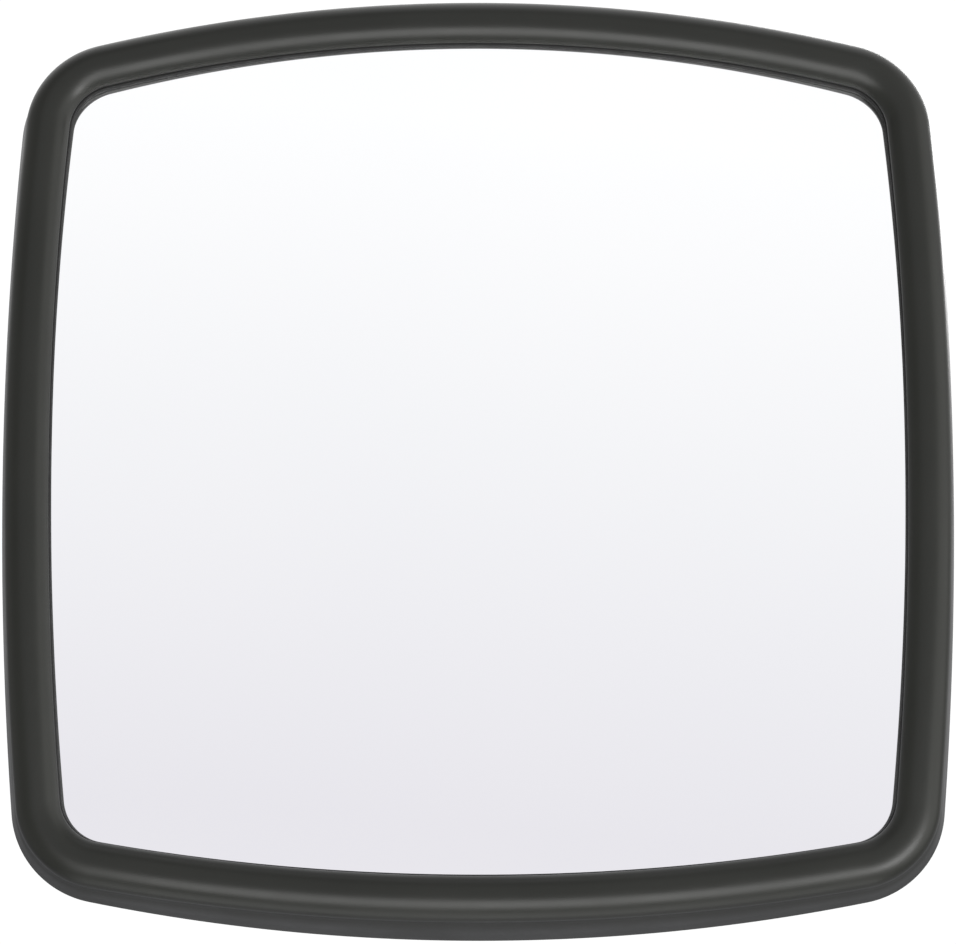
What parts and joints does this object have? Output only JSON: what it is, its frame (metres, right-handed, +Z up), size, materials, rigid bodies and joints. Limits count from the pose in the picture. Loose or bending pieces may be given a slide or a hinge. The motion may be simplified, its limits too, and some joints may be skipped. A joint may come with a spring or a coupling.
{
  "type": "traffic convex mirror",
  "caption": "Barrel-shaped convex road mirror in a dark moulded rim, held on an upright pole by a clamp bracket that pans and tilts.",
  "frame": {"origin": "on the pole's axis, halfway between the two saddles", "axes": "+Z up along the pole, -Y towards what the mirror faces, +X to the right of someone looking into it"},
  "size_m": [0.456, 0.2852, 0.456],
  "materials": {
    "rim_plastic": "satin, fine moulded grain",
    "shell_plastic": "matt, moulded grain",
    "mirror_face": "silvered acrylic",
    "seal_rubber": "matt rubber",
    "galvanised_steel": "hot-dip galvanised",
    "zinc_fasteners": "zinc plated",
    "bush_bronze": "sintered bronze",
    "nylon": "natural nylon"
  },
  "bodies": {
    "pole_clamp": {"pole_bracket": "galvanised_steel", "upper_saddle": "galvanised_steel", "lower_saddle": "galvanised_steel", "u_bolts": "zinc_fasteners", "u_bolt_washers": "zinc_fasteners", "u_bolt_nuts": "zinc_fasteners", "pan_bolt": "zinc_fasteners", "pan_washers": "zinc_fasteners", "pan_nut": "zinc_fasteners"},
    "swivel": {"swivel_yoke": "galvanised_steel", "pan_bush": "bush_bronze", "pan_friction_discs": "nylon", "tilt_bolt": "zinc_fasteners", "tilt_washers": "zinc_fasteners", "tilt_nut": "zinc_fasteners", "tilt_spacer": "zinc_fasteners", "tilt_friction_discs": "nylon"},
    "mirror_head": {"bezel": "rim_plastic", "lens_seal": "seal_rubber", "mirror_lens": "mirror_face", "back_shell": "shell_plastic", "rim_screws": "zinc_fasteners", "backing_plate": "galvanised_steel", "mount_bolts": "zinc_fasteners", "mount_washers": "zinc_fasteners", "mount_nuts": "zinc_fasteners", "head_bracket": "galvanised_steel"}
  },
  "joints": [
    {"name": "pan", "type": "hinge", "parent": "pole_clamp", "child": "swivel", "pos_m": [0, -0.075, 0], "axis": [0, 0, 1], "range_deg": [-60, 60]},
    {"name": "tilt", "type": "hinge", "parent": "swivel", "child": "mirror_head", "pos_m": [0, -0.132, 0], "axis": [1, 0, 0], "range_deg": [-25, 25]}
  ]
}
